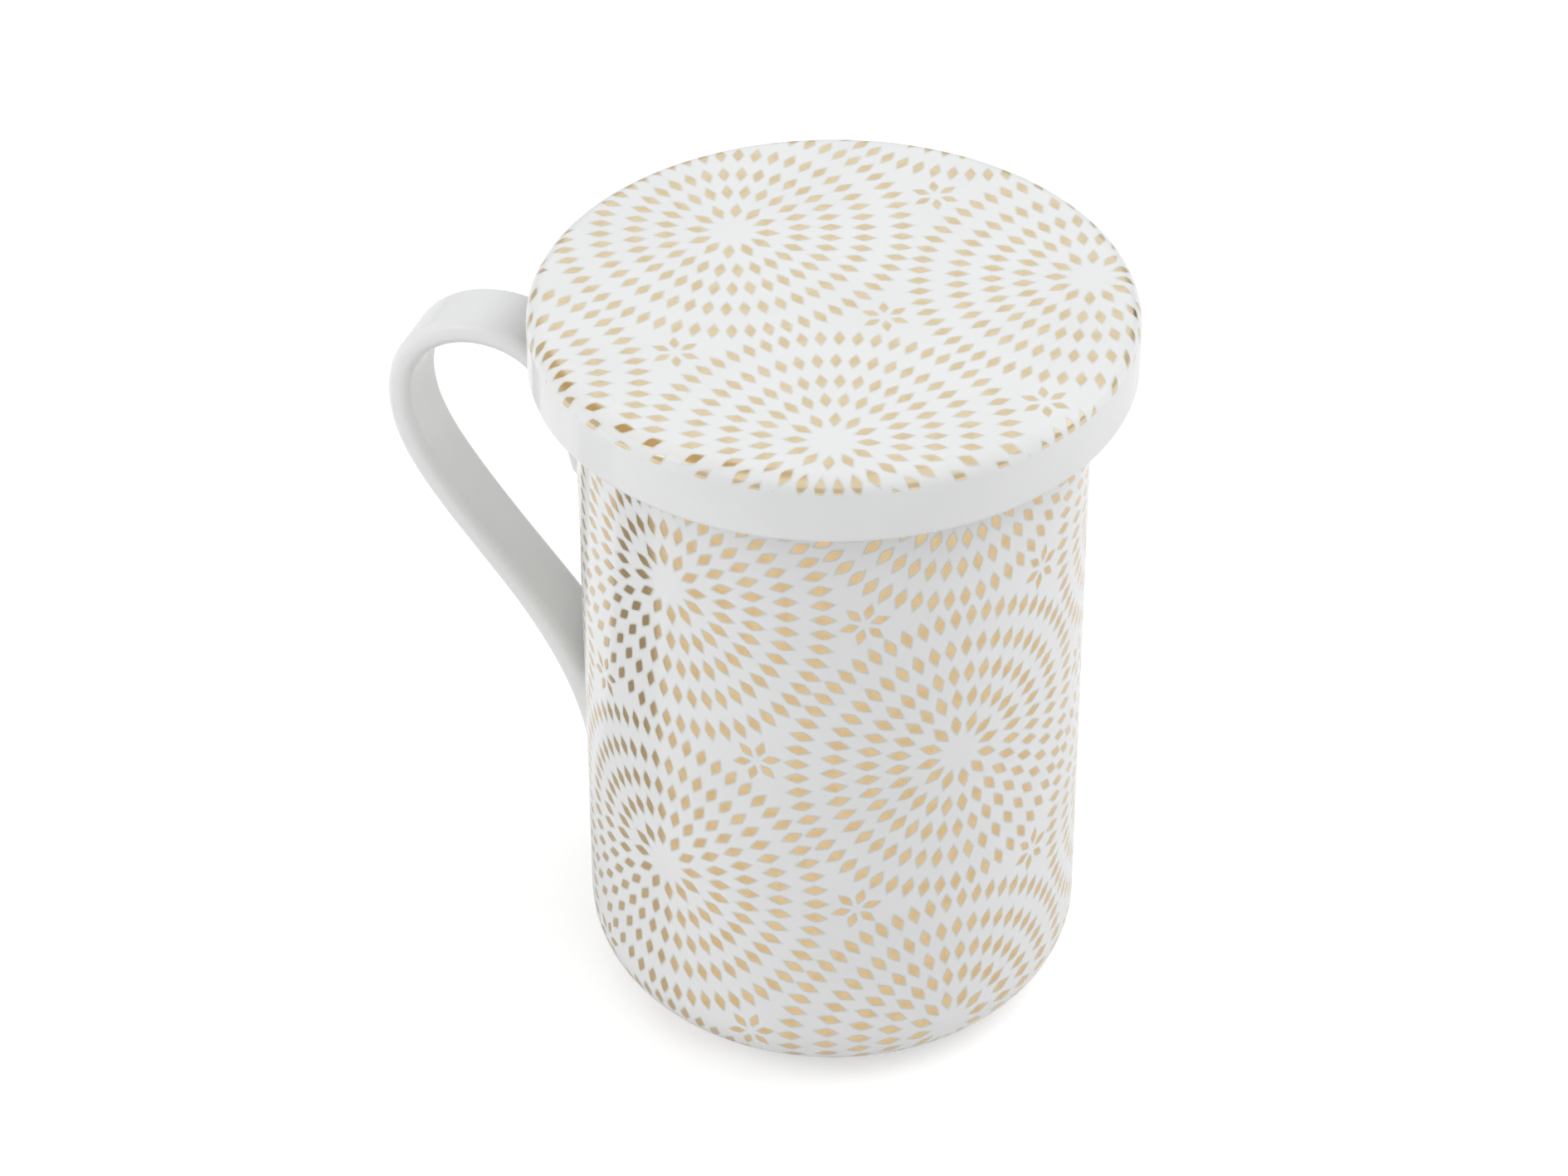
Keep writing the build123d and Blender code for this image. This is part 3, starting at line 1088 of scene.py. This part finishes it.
def makeRoom():
    world = bpy.data.worlds.new("room")
    bpy.context.scene.world = world
    world.use_nodes = True
    tree = world.node_tree
    path = tree.nodes.new("ShaderNodeLightPath").outputs
    seen = calc(tree, "MAXIMUM", path["Is Camera Ray"], path["Is Transmission Ray"])
    way = tree.nodes.new("ShaderNodeTexCoord").outputs["Generated"]
    split = tree.nodes.new("ShaderNodeSeparateXYZ")
    tree.links.new(way, split.inputs[0])
    white, low = grey(room["white"]), grey(room["horizonShare"] * room["white"])
    mirrored = blendColour(tree, step(tree, split.outputs[2], *room["horizonEnds"]), low, white)
    for bearing, height, outer, inner, colour in room["patches"]:
        towards = tree.nodes.new("ShaderNodeVectorMath")
        towards.operation = "DOT_PRODUCT"
        tree.links.new(way, towards.inputs[0])
        towards.inputs[1].default_value = wayTo(bearing, height)
        rim, middle = math.cos(math.radians(outer)), math.cos(math.radians(inner))
        patch = step(tree, towards.outputs["Value"], rim, middle)
        mirrored = blendColour(tree, patch, mirrored, colour)
    colour = blendColour(tree, path["Is Glossy Ray"], grey(room["light"]), mirrored)
    colour = blendColour(tree, seen, colour, white)
    tree.links.new(colour, tree.nodes["Background"].inputs["Color"])


def makeLamps():
    for name, (bearing, height, distance, size, watts) in lamps.items():
        way = wayTo(bearing, height)
        light = bpy.data.lights.new(name, "AREA")
        light.size = size
        light.energy = watts
        lamp = bpy.data.objects.new(name, light)
        bpy.context.scene.collection.objects.link(lamp)
        lamp.location = Vector(lampAim) + way * distance
        lamp.rotation_euler = (-way).to_track_quat("-Z", "Y").to_euler()
        lamp.visible_glossy = False  # mirrors show the patches of the room instead


cameraView = {
    "place": (219.0 * mm, -606.8 * mm, 561.5 * mm),
    "lookDown": 37.40,
    "bearing": 20.5,
    "roll": -0.236,
    "focalLength": 6500,  # in pixels of a picture that is pictureWidth wide
    "pictureWidth": 1890,
    "nearest": 0.05,
}


def makeCamera():
    lens = bpy.data.cameras.new("camera")
    lens.lens = lens.sensor_width * cameraView["focalLength"] / cameraView["pictureWidth"]
    lens.clip_start = cameraView["nearest"]
    camera = bpy.data.objects.new("camera", lens)
    bpy.context.scene.collection.objects.link(camera)
    level = Euler((math.radians(90 - cameraView["lookDown"]), 0, math.radians(cameraView["bearing"])))
    turn = level.to_matrix() @ Matrix.Rotation(math.radians(cameraView["roll"]), 3, "Z")
    camera.matrix_world = Matrix.Translation(cameraView["place"]) @ turn.to_4x4()
    bpy.context.scene.camera = camera


makeFloor()
makeRoom()
makeLamps()
makeCamera()
bpy.context.scene.view_settings.view_transform = "Standard"
print("tea mug: studio lit")
